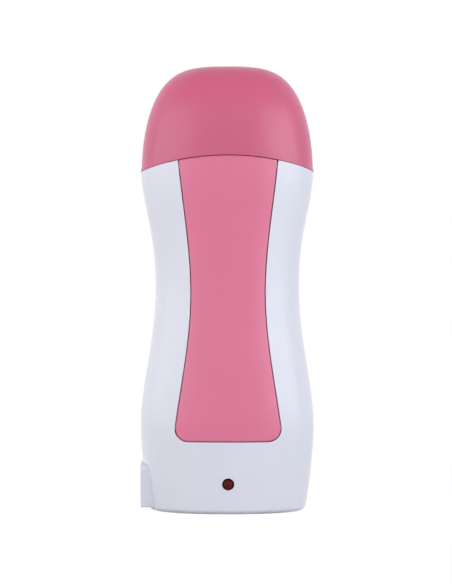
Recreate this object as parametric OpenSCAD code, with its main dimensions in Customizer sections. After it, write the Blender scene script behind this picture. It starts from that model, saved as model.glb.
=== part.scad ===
// Roll-on wax heater: a waisted hand-held casing that warms an oval wax cartridge,
// with a domed cap over the roller. Front faces -Y, up is +Z, the origin is the
// middle of the base. Millimetres.

/* [Casing] */
// Overall height, from the base to the top of the cap
total_h = 194; // [192:0.5:198]
// Width across the base
base_w = 68.6; // [67:0.2:70]
// Widest width, at the hip
hip_w = 76; // [75:0.5:77]
// Narrowest width, at the waist
waist_w = 63; // [62.5:0.5:65]
// Width just under the cap
shoulder_w = 75.7; // [75:0.1:76]
// Depth in front of the parting line, at the hip
front_d = 25.4; // [25:0.1:26]
// Depth behind the parting line, at the hip
rear_d = 25; // [24.6:0.1:25.4]
// Height of the hip, the widest place
hip_z = 37.5; // [36:0.5:40]
// Height of the waist, the narrowest place
waist_z = 96.6; // [94:0.2:98]
// Squareness of the plan section: 2 is an ellipse
section_n = 2.3; // [2.2:0.05:2.5]
// Wall thickness of the two shells
wall = 2; // [1.8:0.1:2.2]

/* [Cap] */
// Width of the cap at the foot of its dome, without the flare of its lower edge
cap_w = 75.2; // [74.8:0.1:75.8]
// Depth of the cap, half in front and half behind
cap_d = 52.2; // [52:0.1:53]
// Height at which the cap starts to dome
dome_z = 148; // [147:0.5:149]
// Wall thickness of the cap
cap_wall = 1.8; // [1.6:0.1:2]
// Radius of the arch along the cap's lower edge
arch_r = 121.5; // [118:0.5:130]
// Height of the arch's crown
arch_top_z = 153.6; // [153:0.2:154.2]

/* [Front panel] */
// Width of the panel at its foot, before its corners are rounded
panel_foot_w = 46.6; // [45:0.2:47]
// Width of the panel at its waist
panel_waist_w = 31.6; // [30:0.2:33]
// Width of the panel at the cap
panel_top_w = 42.8; // [41:0.2:44]
// Height of the panel's lower edge
panel_z = 31.3; // [30:0.1:33]
// Radius of the panel's lower corners
panel_corner_r = 5.4; // [4:0.2:6]

/* [Cartridge] */
// Width of the wax cartridge
cartridge_w = 52; // [50:0.5:52]
// Depth of the wax cartridge
cartridge_d = 27; // [26:0.5:27]
// Height of the cartridge's underside
cartridge_z = 40; // [40:0.5:41]
// Diameter of the roller
roller_d = 18; // [16:0.5:18]
// Length of the roller's drum
roller_l = 46; // [44:0.5:46]

/* [Power inlet] */
// Diameter of each inlet pin
pin_d = 2.4; // [2.3:0.05:2.4]
// Distance between the two pins
pin_pitch = 8.6; // [8.4:0.1:8.8]
// Free length of the pins inside the socket
pin_free_l = 8; // [7:0.5:8]

/* [Hidden] */

ring_steps = 48;      // points round a full plan section
skin_step = 5.5;      // height of one band of the lofted skins
foot_r = 2.2;         // rounding under the base
shoulder_z = 149;     // height where the casing is full width under the cap
cap_gap = 0.3;        // clearance between cap and casing
cap_flare = 0.45;     // how far the cap's side tips stand out
flare_h = 2;
neck_wall = 1.6;
neck_top_z = 158;     // rim of the neck inside the cap
neck_from_z = 144;
arch_z = arch_top_z - arch_r;
neck_inset = cap_wall + 0.35; // clear of the cap's inner skin
far = 90;             // reach of cutting shapes past the object

panel_gap = 0.25;     // shadow gap round the front panel
panel_t = 2.6;
panel_draft = 0.1;    // the panel's edges slope out by this much towards the back
lip_out = 1.8;        // lip of the panel behind the shell
lip_front = wall + 0.3;
lip_t = 1;
lip_top_z = 115;

cartridge_y = -1;     // the well stands a little in front of the parting line
cartridge_r = 11;     // corner radius of the oval cartridge
bottle_top_z = 148;   // underside of the roller head
roller_z = cartridge_z + 133;
well_gap = 0.5;       // slack between cartridge and sleeve
sleeve_t = 1.5;
sleeve_w = cartridge_w + 2 * well_gap;
sleeve_d = cartridge_d + 2 * well_gap;
sleeve_r = cartridge_r + well_gap;
sleeve_back_y = cartridge_y + sleeve_d / 2 + sleeve_t;
floor_t = 2;
floor_z = cartridge_z - 0.1 - floor_t;
mouth_z = 150;        // underside of the mouth ring
shelf_t = 1.6;

lamp_z = 13;
lamp_d = 5;
lamp_hole_d = 5.2;
board_t = 1.6;
board_y = [-15.6, -15.6 + board_t];

boss_x = [-37.9, -30.6]; // flat outer face of the inlet boss, and its inner end
boss_half_d = 11.6;
boss_h = 18.9;
boss_top_r = 3;
socket_z = 11.25;     // middle height of the inlet
socket_d = 17.6;
socket_h = 11.6;
socket_floor_x = -28.1;
socket_back_x = -24.7;
tail_x = -21.5;       // ends of the pins' solder tails

screw_seat_y = 6;
screw_at = [[-17, 24], [17, 24], [-32, 141], [32, 141]];
screw_boss_d = 7.2;
screw_d = 2.6;

heater_z = [72, 112];
film_t = 0.3;
plate_t = 0.4;
ceramic_t = 2.2;
tab_x = 8;            // the two supply tabs stand this far each side of the middle
// The heater's layers, outward from the sleeve: film, plate, ceramic, plate, film
stack = [for (t = [0, film_t, film_t + plate_t, film_t + plate_t + ceramic_t,
    film_t + 2 * plate_t + ceramic_t, 2 * film_t + 2 * plate_t + ceramic_t]) sleeve_back_y + t];
crimp_y = [sleeve_back_y + 1.8, stack[3] + plate_t / 2];

// ---- outline of the casing and the cap ----

function ease(u, p) = let (v = pow(u, p)) v * v * (3 - 2 * v);

// A size that runs base, hip, waist, shoulder up the casing
function along(z, v) =
    z < hip_z ? v[1] - (v[1] - v[0]) * pow(1 - z / hip_z, 1.6)
    : z < waist_z ? v[1] + (v[2] - v[1]) * ease((z - hip_z) / (waist_z - hip_z), 0.9)
    : v[2] + (v[3] - v[2]) * ease(min(1, (z - waist_z) / (shoulder_z - waist_z)), 1.3);

function foot(z) = z < foot_r ? foot_r - sqrt(pow(foot_r, 2) - pow(foot_r - z, 2)) : 0;
function half_w(z) = along(z, [base_w, hip_w, waist_w, shoulder_w]) / 2 - foot(z);
function front_depth(z) = along(z, front_d * [0.96, 1, 0.93, 0.99]) - foot(z);
function rear_depth(z) = along(z, rear_d * [0.96, 1, 0.94, 0.99]) - foot(z);

// The dome of the cap, as a share of its size at its lower edge
function dome(z, rise, up, across) =
    pow(1 - pow(min(0.9995, max(0, z - dome_z) / (total_h - rise - dome_z)), up), 1 / across);
function flare(z) = cap_flare * max(0, 1 - max(0, z - dome_z) / flare_h);
function cap_half_w(z, inset = 0) = (cap_w / 2 - inset) * dome(z, inset, 2, 3.7) + flare(z);
function cap_depth(z, inset = 0) = (cap_d / 2 - inset) * dome(z, inset, 3.2, 3.1);

// The inner skin of the casing, which thickens into the neck
neck_skin = neck_inset + neck_wall;
function inner(z, outer, neck) = z < waist_z ? outer - wall : min(outer - wall, neck - neck_skin);
function inner_w(z) = inner(z, half_w(z), cap_half_w(z));
function inner_front(z) = inner(z, front_depth(z), cap_depth(z));
function inner_rear(z) = inner(z, rear_depth(z), cap_depth(z));

// Points of a plan section from angle t0 to t1
function section(z, a, front, rear, t0 = 0, t1 = 360) =
    let (n = ring_steps * (t1 - t0) / 360, last = t1 - t0 == 360 ? n - 1 : n)
    [for (i = [0 : last]) let (t = t0 + (t1 - t0) * i / n, c = cos(t), s = sin(t))
        [a * sign(c) * pow(abs(c), 2 / section_n),
         (s < 0 ? front : rear) * sign(s) * pow(abs(s), 2 / section_n), z]];
function flat(points) = [for (p = points) [p[0], p[1]]];

// Front surface of the casing, set in by some depth
function face_y(x, z, inset = 0) =
    -(front_depth(z) - inset) * pow(1 - pow(abs(x) / (half_w(z) - inset), section_n), 1 / section_n);

// ---- outline of the front panel ----

panel_waist_z = 94.5;
panel_side_z = panel_z + panel_corner_r;
function hermite(u, m0, m1) =
    m0 * (pow(u, 3) - 2 * u * u + u) + 3 * u * u - 2 * pow(u, 3) + m1 * (pow(u, 3) - u * u);
function panel_side(z) = z < panel_waist_z
    ? (panel_foot_w + (panel_waist_w - panel_foot_w)
        * hermite((z - panel_z) / (panel_waist_z - panel_z), 1, 0)) / 2
    : (panel_waist_w + (panel_top_w - panel_waist_w)
        * hermite((z - panel_waist_z) / (arch_top_z - panel_waist_z), 0, 1)) / 2;

// Half-width of the panel, grown all round, with its lower corners rounded
function panel_half(z, grow = 0) = z < panel_side_z
    ? panel_side(panel_side_z) - panel_corner_r
        + sqrt(max(0, pow(panel_corner_r + grow, 2) - pow(panel_side_z - z, 2)))
    : panel_side(z) + grow;
function corner_heights(grow, from) =
    [for (t = [from : 18 : 89]) panel_side_z - (panel_corner_r + grow) * cos(t)];

// Height of the arch of the cap's lower edge
function arch_at(x, grow = 0) = arch_z + sqrt(pow(arch_r + grow, 2) - x * x);

// ---- shared solids ----

// A solid skinned over rings that have the same number of points
module skin(rings) {
    n = len(rings[0]);
    m = len(rings);
    polyhedron(
        points = [for (r = rings) each r],
        faces = concat(
            [[for (i = [0 : n - 1]) i]],
            [[for (i = [n - 1 : -1 : 0]) (m - 1) * n + i]],
            [for (j = [0 : m - 2], i = [0 : n - 1])
                let (a = j * n + i, b = j * n + (i + 1) % n)
                each [[a, a + n, b + n], [a, b + n, b]]]));
}

// Heights of the bands of a skin
function bands(z0, z1, step = skin_step) = let (n = ceil((z1 - z0) / step))
    [for (i = [0 : n]) z0 + (z1 - z0) * i / n];

// Along Y, from y0 to y1, standing on the XZ plane
module along_y(y0, y1) {
    translate([0, y1, 0]) rotate([90, 0, 0]) linear_extrude(y1 - y0) children();
}

// A round bar along Y
module bar_y(x, z, d, y0, y1) {
    translate([x, y1, z]) rotate([90, 0, 0]) cylinder(d = d, h = y1 - y0, $fn = 48);
}

// A round bar along X
module bar_x(y, z, d, x0, x1) {
    translate([x0, y, z]) rotate([0, 90, 0]) cylinder(d = d, h = x1 - x0, $fn = 64);
}

// Everything under the arch of the cap's lower edge
module below_arch(grow = 0) {
    translate([0, far, arch_z]) rotate([90, 0, 0])
        cylinder(r = arch_r + grow, h = 2 * far, $fn = 240);
}

// An oval plate or bar with round corners, centred on the well
module oval(w, d, r, z0, z1) {
    translate([0, cartridge_y, z0]) linear_extrude(z1 - z0) round_rect(w, d, r);
}

module round_rect(w, d, r) {
    polygon([for (q = [0 : 3], a = [0 : 11.25 : 90])
        [(q == 0 || q == 3 ? 1 : -1) * (w / 2 - r) + r * cos(90 * q + a),
         (q < 2 ? 1 : -1) * (d / 2 - r) + r * sin(90 * q + a)]]);
}

// A smooth tube of round section through hand-picked points
function spline(p, i, u) = let (n = len(p) - 1,
    a = p[max(0, i - 1)], b = p[i], c = p[min(n, i + 1)], d = p[min(n, i + 2)])
    0.5 * (2 * b + (c - a) * u + (2 * a - 5 * b + 4 * c - d) * u * u
        + (3 * b - a - 3 * c + d) * pow(u, 3));
function unit(v) = v / norm(v);
function tube_ring(at, dir, side, r) = let (u = unit(cross(dir, side)), v = cross(dir, u))
    [for (k = [0 : 7]) at + r * (cos(45 * k) * u + sin(45 * k) * v)];
module tube(p, d, parts = 4, side = [0, 0, 1]) {
    path = [for (i = [0 : len(p) - 2], k = [0 : parts - 1]) spline(p, i, k / parts), p[len(p) - 1]];
    m = len(path) - 1;
    skin([for (i = [0 : m])
        tube_ring(path[i], unit(path[min(m, i + 1)] - path[max(0, i - 1)]), side, d / 2)]);
}

// ---- casing ----

// One half of the casing's outer form: side is -1 for the front and 1 for the rear
module casing_half(side) {
    t0 = side < 0 ? 180 : 0;
    intersection() {
        skin([for (z = concat([0, 0.5], bands(foot_r, arch_top_z + 1)))
            section(z, half_w(z), front_depth(z), rear_depth(z), t0, t0 + 180)]);
        below_arch();
    }
    skin([for (z = bands(neck_from_z, neck_top_z, 7))
        section(z, cap_half_w(z) - neck_inset, cap_depth(z) - neck_inset,
            cap_depth(z) - neck_inset, t0, t0 + 180)]);
}

// The hollow of that half, which runs a little past the parting line
module cavity(side) {
    t0 = side < 0 ? 180 : 0;
    skin([for (z = bands(wall, neck_top_z + 1, 7)) let (a = inner_w(z))
        concat(section(z, a, inner_front(z), inner_rear(z), t0, t0 + 180),
            [[side * a, -side, z], [-side * a, -side, z]])]);
}

// That half of the flat-faced boss round the inlet
module inlet_boss(side) {
    r = boss_top_r;
    low = socket_z - boss_h / 2;
    high = low + boss_h;
    translate([boss_x[0], 0, 0]) rotate([90, 0, 90]) linear_extrude(boss_x[1] - boss_x[0])
        polygon(concat([[0, low], [side * boss_half_d, low]],
            [for (a = [0 : 11.25 : 90]) [side * (boss_half_d - r + r * cos(a)), high - r + r * sin(a)]],
            [[0, high]]));
}

module inlet_pocket() {
    d = socket_d + 0.2;
    h = socket_h + 0.2;
    translate([boss_x[0] - 1, -d / 2, socket_z - h / 2]) cube([16, d, h]);
}

// A shelf inside one half, with an oval way through it
module shelf(z, side, way_w, way_d) {
    difference() {
        translate([0, 0, z]) linear_extrude(shelf_t)
            polygon(flat(section(z, inner_w(z) + 0.8, inner_front(z) + 0.8, inner_rear(z) + 0.8,
                side < 0 ? 180 : 0, side < 0 ? 360 : 180)));
        oval(way_w, way_d, 12, z - 1, z + shelf_t + 1);
    }
}

// The tongue along the parting line, or with other insets the groove that takes it
function side_line(inset, top_z) =
    [for (z = concat([inset], bands(foot_r + 3, top_z, 6))) [half_w(z) - inset, z]];
function mirrored(line) =
    concat(line, [for (i = [len(line) - 1 : -1 : 0]) [-line[i][0], line[i][1]]]);
module rim_band(outer_inset, inner_inset, depth, top_z) {
    along_y(-depth, 0) difference() {
        polygon(mirrored(side_line(outer_inset, top_z)));
        polygon(mirrored(side_line(inner_inset, top_z + 1)));
        translate([boss_x[0] - 1, -1]) square([boss_x[1] - boss_x[0] + 4, 26]);
    }
}

module panel_opening() {
    above = 0.6;
    half_top = panel_top_w / 2;
    heights = concat(corner_heights(panel_gap, 0), bands(panel_side_z, arch_at(half_top, above), 5));
    sides = [for (z = heights) [panel_half(z, panel_gap), z]];
    crown = [for (i = [7 : -1 : -7]) let (x = half_top * i / 8) [x, arch_at(x, above)]];
    along_y(-far, -11)
        polygon(concat(sides, crown, [for (i = [len(sides) - 1 : -1 : 0]) [-sides[i][0], sides[i][1]]]));
}

// What both halves share: the wall, the inlet boss, the two ledges and the screw posts
module shell_half(side, ledge_d) {
    difference() {
        union() {
            difference() {
                casing_half(side);
                cavity(side);
            }
            inlet_boss(side);
        }
        inlet_pocket();
    }
    shelf(floor_z - shelf_t, side, 54, ledge_d);
    shelf(mouth_z - shelf_t, side, sleeve_w + 2 * sleeve_t + 3.4, sleeve_d + 2 * sleeve_t + 3.4);
    intersection() {
        for (at = screw_at) bar_y(at[0], at[1], screw_boss_d, side < 0 ? -far : 0, side < 0 ? 0 : far);
        casing_half(side);
    }
}

// Room for the panel's lip in the front of the lower ledge, inside the wall
module lip_relief() {
    z = floor_z - 2 * shelf_t;
    translate([0, 0, z]) linear_extrude(3 * shelf_t) intersection() {
        translate([-26.5, -24]) square([53, 9]);
        polygon(flat(section(z, inner_w(z), inner_front(z), inner_rear(z), 180, 360)));
    }
}

module front_shell() {
    rib_w = 2.6;
    color([0.88, 0.88, 0.92]) difference() {
        union() {
            shell_half(-1, 30);
            for (s = [-1, 1]) translate([s * 8.5 - rib_w / 2, -23.4, 5]) cube([rib_w, 11, 16]);
        }
        panel_opening();
        lip_relief();
        for (at = screw_at) bar_y(at[0], at[1], screw_d + 0.05, -9, 1);
        bar_y(0, lamp_z, lamp_hole_d, -far, -20);
        translate([-8.1, board_y[0] - 0.1, 5.9]) cube([16.2, board_t + 0.2, 16]);
        rim_band(0.9, wall + 0.1, 1.4, 143.2);
    }
}

module rear_shell() {
    color([0.88, 0.88, 0.92]) difference() {
        union() {
            shell_half(1, 40);
            rim_band(1, wall, 1.2, 143);
        }
        for (at = screw_at) {
            bar_y(at[0], at[1], screw_d + 0.3, -2, far);
            bar_y(at[0], at[1], 5, screw_seat_y, far);
        }
    }
}

// Points of the front surface at one height, set in by some depth, from x = -a to a
function face_row(a, z, depth, across) =
    [for (i = [0 : across]) let (x = a * (2 * i / across - 1)) [x, face_y(x, z, depth), z]];

// Section of the front panel: its face, its two drafted edges and the lip behind the shell
function panel_ring(z, raised) =
    let (lip = z < lip_top_z,
        a = panel_half(max(z, panel_z)),
        w = lip ? panel_half(z, lip_out) : a + 2 * panel_draft - 0.02,
        back = face_row(w, z, lip ? lip_front + lip_t : panel_t, 10))
    concat(face_row(a, z, raised ? 0 : lip_front, 12),
        [for (x = [a + panel_draft, w]) [x, face_y(x, z, lip_front), z]],
        [for (i = [10 : -1 : 0]) back[i]],
        [for (x = [-w, -a - panel_draft]) [x, face_y(x, z, lip_front), z]]);

// The waisted panel let into the front, with a lip behind the shell on its sides and foot
module front_panel() {
    heights = concat([panel_z], corner_heights(0, 18), bands(panel_side_z, lip_top_z - 0.5, 8),
        bands(lip_top_z, arch_top_z + 1, 7));
    color([0.85, 0.42, 0.55]) intersection() {
        skin(concat(
            [for (z = [corner_heights(lip_out, 12)[0], corner_heights(lip_out, 30)[0],
                panel_z - panel_draft]) panel_ring(z, false)],
            [for (z = heights) panel_ring(z, true)]));
        below_arch();
    }
}

module cap() {
    color([0.80, 0.38, 0.50]) difference() {
        cap_skin(0, dome_z - 3);
        cap_skin(cap_wall, dome_z - 4);
        below_arch(cap_gap);
    }
}

module cap_skin(inset, from_z) {
    rise = total_h - inset - dome_z;
    rows = 11;
    heights = concat([dome_z, dome_z + flare_h],
        [for (i = [1 : rows]) dome_z + rise * min(0.9995, sin(90 * i / rows))]);
    skin([for (z = concat([from_z], heights))
        section(z, cap_half_w(z, inset), cap_depth(z, inset), cap_depth(z, inset))]);
}

// ---- the well that holds the cartridge ----

module well_floor() {
    z = floor_z;
    color([0.82, 0.82, 0.80]) difference() {
        translate([0, 0, z]) linear_extrude(floor_t)
            polygon(flat(section(z, inner_w(z) - 0.4, 19.5, inner_rear(z) - 0.4)));
        translate([-13, sleeve_back_y - 1, z - 1]) cube([26, 20, floor_t + 2]);
    }
}

module mouth_ring() {
    z = mouth_z;
    color([0.88, 0.88, 0.92]) difference() {
        union() {
            translate([0, 0, z]) linear_extrude(2) polygon(flat(section(z,
                cap_half_w(z) - neck_skin - 0.2, cap_depth(z) - neck_skin - 0.2,
                cap_depth(z) - neck_skin - 0.2)));
            oval(sleeve_w + 2 * sleeve_t + 2.6, sleeve_d + 2 * sleeve_t + 2.6, sleeve_r + 2.6,
                z - 4.5, z + 1);
        }
        oval(sleeve_w + 0.4, sleeve_d + 0.4, sleeve_r + 0.2, z - 6, z + 3);
        oval(sleeve_w + 2 * sleeve_t + 0.2, sleeve_d + 2 * sleeve_t + 0.2, sleeve_r + sleeve_t + 0.1,
            z - 6, z);
    }
}

module heating_sleeve() {
    color([0.75, 0.76, 0.78]) difference() {
        oval(sleeve_w + 2 * sleeve_t, sleeve_d + 2 * sleeve_t, sleeve_r + sleeve_t,
            floor_z + floor_t, mouth_z);
        oval(sleeve_w, sleeve_d, sleeve_r, floor_z, mouth_z + 1);
        translate([-20, -far, floor_z]) cube([40, far + cartridge_y, far + 60]);
        for (z = clamp_foot_z) bar_y(0, z, 2.8, 0, far);
    }
}

// ---- heater stack behind the sleeve ----

module slab(w, z0, z1, y0, y1, x = 0) {
    translate([x - w / 2, y0, z0]) cube([w, y1 - y0, z1 - z0]);
}

module heater_element() {
    color([0.35, 0.33, 0.32]) slab(22, heater_z[0] + 1, heater_z[1] - 1, stack[2], stack[3]);
}

// Two contact plates, each with a supply tab at its foot that jogs to its crimp
module heater_electrodes() {
    tab_z = [for (dz = [-8, -3, -1, 2]) heater_z[0] + dz];
    color([0.80, 0.66, 0.35]) for (i = [0, 1]) {
        y = stack[2 * i + 1];
        end_y = crimp_y[i] - plate_t / 2;
        slab(22, heater_z[0] + 1, heater_z[1] - 1, y, y + plate_t);
        translate([(2 * i - 1) * tab_x - 0.7, 0, 0]) rotate([90, 0, 90]) linear_extrude(1.4)
            polygon([[end_y, tab_z[0]], [end_y, tab_z[1]], [y, tab_z[2]], [y, tab_z[3]],
                [y + plate_t, tab_z[3]], [y + plate_t, tab_z[2]],
                [end_y + plate_t, tab_z[1]], [end_y + plate_t, tab_z[0]]]);
    }
}

module heater_insulation() {
    color([0.78, 0.52, 0.20]) for (y = [stack[0], stack[4]])
        slab(24, heater_z[0], heater_z[1], y, y + film_t);
}

clamp_foot_z = [heater_z[0] - 8, heater_z[1] + 8];
clamp_t = 0.8;
module heater_clamp() {
    y0 = sleeve_back_y;
    y1 = stack[5];
    z = [clamp_foot_z[0] - 4, heater_z[0] - 3, heater_z[0] - 0.5,
        heater_z[1] + 0.5, heater_z[1] + 3, clamp_foot_z[1] + 4];
    color([0.62, 0.63, 0.65]) difference() {
        translate([-4, 0, 0]) rotate([90, 0, 90]) linear_extrude(8) polygon([
            [y0, z[0]], [y0, z[1]], [y1, z[2]], [y1, z[3]], [y0, z[4]], [y0, z[5]],
            [y0 + clamp_t, z[5]], [y0 + clamp_t, z[4] + 0.4], [y1 + clamp_t, z[3] + 0.4],
            [y1 + clamp_t, z[2] - 0.4], [y0 + clamp_t, z[1] - 0.4], [y0 + clamp_t, z[0]]]);
        for (zz = clamp_foot_z) bar_y(0, zz, 2.8, 0, far);
    }
}

module clamp_rivets() {
    color([0.70, 0.71, 0.73]) for (z = clamp_foot_z) {
        bar_y(0, z, 2.8, sleeve_back_y - sleeve_t, sleeve_back_y + clamp_t + 0.2);
        bar_y(0, z, 5, sleeve_back_y + clamp_t, sleeve_back_y + clamp_t + 1);
    }
}

// Bimetal cut-out in a flat steel can, bonded to the sleeve, with a tab at each end
module thermostat() {
    color([0.72, 0.73, 0.74]) {
        slab(7, 47.5, 60.5, sleeve_back_y, sleeve_back_y + 3.6, -tab_x);
        slab(1.4, 44, 64, crimp_y[0] - 0.4, crimp_y[0] + 0.4, -tab_x);
    }
}

module thermal_fuse() {
    color([0.80, 0.76, 0.62]) translate([tab_x, crimp_y[1], 0]) {
        translate([0, 0, 48.5]) cylinder(d = 3.8, h = 11, $fn = 48);
        translate([0, 0, 44]) cylinder(d = 1.2, h = 20, $fn = 24);
    }
}

module fuse_sleeve() {
    color([0.90, 0.88, 0.80]) translate([tab_x, crimp_y[1], 47.5]) difference() {
        cylinder(d = 4.9, h = 13, $fn = 48);
        translate([0, 0, -1]) cylinder(d = 4, h = 15, $fn = 48);
    }
}

// Crimp barrels that join the wires, the two cut-outs and the heater's tabs
crimp_bore = 1.9;
module crimps() {
    color([0.78, 0.78, 0.80]) for (i = [0, 1], z = [41.5, 61.5])
        translate([(2 * i - 1) * tab_x, crimp_y[i], z]) difference() {
            cylinder(d = 3, h = 5, $fn = 32);
            translate([0, 0, -1]) cylinder(d = crimp_bore, h = 7, $fn = 32);
        }
}

// ---- wiring ----

wire_d = 1.8;
pin_y = pin_pitch / 2;

module live_wire() {
    color([0.45, 0.28, 0.18]) tube([[tail_x, -pin_y, socket_z], [-17, -pin_y, 11], [-8, -1, 10],
        [0, 5, 13], [6, 12, 20], [tab_x, 16.6, 30], [tab_x, crimp_y[1], 37],
        [tab_x, crimp_y[1], 44]], wire_d, 3, [1, -1, 0]);
}

module neutral_wire() {
    color([0.20, 0.35, 0.65]) tube([[tail_x, pin_y, socket_z], [-17, 4.8, 11.2], [-11, 8.5, 13],
        [-8.4, 13, 19], [-tab_x, 15.8, 28], [-tab_x, crimp_y[0], 36], [-tab_x, crimp_y[0], 43.8]],
        wire_d, 3, [1, -1, 0]);
}

module lamp_wires() {
    d = 1.2;
    board_back = board_y[1] + 0.1;
    beside = 1.45;
    color([0.25, 0.25, 0.27]) {
        tube([[3, board_back, 9], [2.6, -11.5, 10], [-4, -9.5, 14], [-14, -8, 15],
            [-20, -6.2, 13.8], [tail_x - 1.9, -pin_y, socket_z + beside]], d, 3);
        tube([[-3, board_back, 9], [-3.6, -11.5, 8.4], [-9, -8.5, 6.4], [-16, -4, 6],
            [-20.5, 0, 7.6], [tail_x - 1.9, pin_y, socket_z - beside]], d, 3);
    }
}

// ---- indicator lamp ----

module lamp() {
    tip_y = -front_d - 0.1;
    color([0.55, 0.04, 0.05]) {
        translate([0, tip_y + lamp_d / 2, lamp_z]) sphere(d = lamp_d, $fn = 48);
        bar_y(0, lamp_z, lamp_d, tip_y + lamp_d / 2, board_y[0] - 2);
        bar_y(0, lamp_z, lamp_d + 0.8, board_y[0] - 2.8, board_y[0] - 1.8);
        for (s = [-1, 1]) translate([s * 1.27 - 0.25, board_y[0] - 2, lamp_z - 0.25])
            cube([0.5, 2, 0.5]);
    }
}

module lamp_board() {
    color([0.16, 0.42, 0.26]) slab(16, 6, 20, board_y[0], board_y[1]);
}

// A small part with two leads, lying along X behind the board
module axial_part(z, d, l, span) {
    y = board_y[1] + d / 2 + 0.3;
    bar_x(y, z, d, -l / 2, l / 2);
    bar_x(y, z, 0.6, -span / 2, span / 2);
    for (s = [-1, 1]) bar_y(s * span / 2, z, 0.6, board_y[1], y + 0.3);
}

module lamp_resistor() {
    color([0.80, 0.70, 0.50]) axial_part(17, 2.4, 6.4, 11);
}

module lamp_diode() {
    color([0.12, 0.12, 0.13]) axial_part(13, 2.6, 5.2, 11);
}

// ---- power inlet ----

// A figure-of-eight slot, standing on the YZ plane and cut along X
module socket_slot(lobe_d, x0, x1) {
    translate([x0, 0, socket_z]) rotate([90, 0, 90]) linear_extrude(x1 - x0) union() {
        square([pin_pitch - 2, lobe_d - 1.2], center = true);
        for (s = [-1, 1]) translate([s * 3.1, 0]) circle(d = lobe_d, $fn = 64);
    }
}

module inlet_housing() {
    shank_d = pin_d + 0.6;
    flange = 0.9;
    color([0.86, 0.86, 0.88]) difference() {
        union() {
            translate([boss_x[0] + 0.3, -socket_d / 2, socket_z - socket_h / 2])
                cube([socket_back_x - boss_x[0] - 0.3, socket_d, socket_h]);
            translate([boss_x[1] + 0.05, -socket_d / 2 - flange, socket_z - socket_h / 2 - flange])
                cube([flange, socket_d + 2 * flange, socket_h + 2 * flange]);
        }
        socket_slot(8.6, boss_x[0] - 1, socket_floor_x);
        for (s = [-1, 1]) bar_x(s * pin_y, socket_z, shank_d, socket_floor_x - 1, -20);
    }
}

module inlet_pins() {
    tip_x = socket_floor_x - pin_free_l;
    chamfer = 0.5;
    color([0.82, 0.80, 0.72]) for (s = [-1, 1]) {
        bar_x(s * pin_y, socket_z, pin_d, tip_x + chamfer, socket_floor_x + 0.1);
        translate([tip_x, s * pin_y, socket_z]) rotate([0, 90, 0])
            cylinder(d1 = pin_d - 2 * chamfer, d2 = pin_d, h = chamfer, $fn = 64);
        bar_x(s * pin_y, socket_z, pin_d + 0.6, socket_floor_x, socket_back_x);
        bar_x(s * pin_y, socket_z, 1.6, socket_back_x - 0.1, tail_x - 0.05);
    }
}

module case_screws() {
    color([0.60, 0.61, 0.63]) for (at = screw_at) {
        bar_y(at[0], at[1], screw_d, screw_seat_y - 12, screw_seat_y);
        difference() {
            bar_y(at[0], at[1], 4.6, screw_seat_y, screw_seat_y + 1.8);
            for (a = [0, 90]) translate([at[0], 0, at[1]]) rotate([0, a, 0])
                translate([-1.3, screw_seat_y + 0.9, -0.35]) cube([2.6, 2, 0.7]);
        }
    }
}

// ---- wax cartridge ----

module cartridge_bottle() {
    t = 1.2;
    chamfer = 1;
    shoulder = bottle_top_z - 8;
    color([0.90, 0.88, 0.82]) difference() {
        union() {
            hull() {
                oval(cartridge_w - 2 * chamfer, cartridge_d - 2 * chamfer, cartridge_r - chamfer,
                    cartridge_z, cartridge_z + chamfer);
                oval(cartridge_w, cartridge_d, cartridge_r, cartridge_z + chamfer,
                    cartridge_z + 2 * chamfer);
            }
            oval(cartridge_w, cartridge_d, cartridge_r, cartridge_z + 2 * chamfer, shoulder);
            oval(cartridge_w - 6, cartridge_d - 6, cartridge_r - 3, shoulder - 1, bottle_top_z - 0.2);
        }
        oval(cartridge_w - 2 * t, cartridge_d - 2 * t, cartridge_r - t, cartridge_z + t, shoulder - t);
        oval(cartridge_w - 6 - 2 * t, cartridge_d - 6 - 2 * t, cartridge_r - 3 - t,
            shoulder - t - 1, bottle_top_z);
    }
}

module cartridge_wax() {
    t = 1.25;
    color([0.78, 0.52, 0.16])
        oval(cartridge_w - 2 * t, cartridge_d - 2 * t, cartridge_r - t, cartridge_z + t, 126);
}

cheek_x = [roller_l / 2 + 0.4, roller_l / 2 + 2.9];
head_top_z = mouth_z + 4;
head_lip_z = roller_z - 4.5;

// A size that eases from one value to another over n steps, paired with its height
function eased(d0, d1, z0, z1, n) =
    [for (i = [0 : n]) [d0 + (d1 - d0) * ease(i / n, 1), z0 + (z1 - z0) * i / n]];

// Along X between two ends, the outline standing on the YZ plane in the middle of the well
module head_bar(x0, x1, line) {
    intersection() {
        translate([x0, cartridge_y, 0]) rotate([90, 0, 90]) linear_extrude(x1 - x0)
            polygon(mirrored(line));
        oval(cartridge_w, cartridge_d, cartridge_r, head_top_z - 1, roller_z + 10);
    }
}

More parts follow.
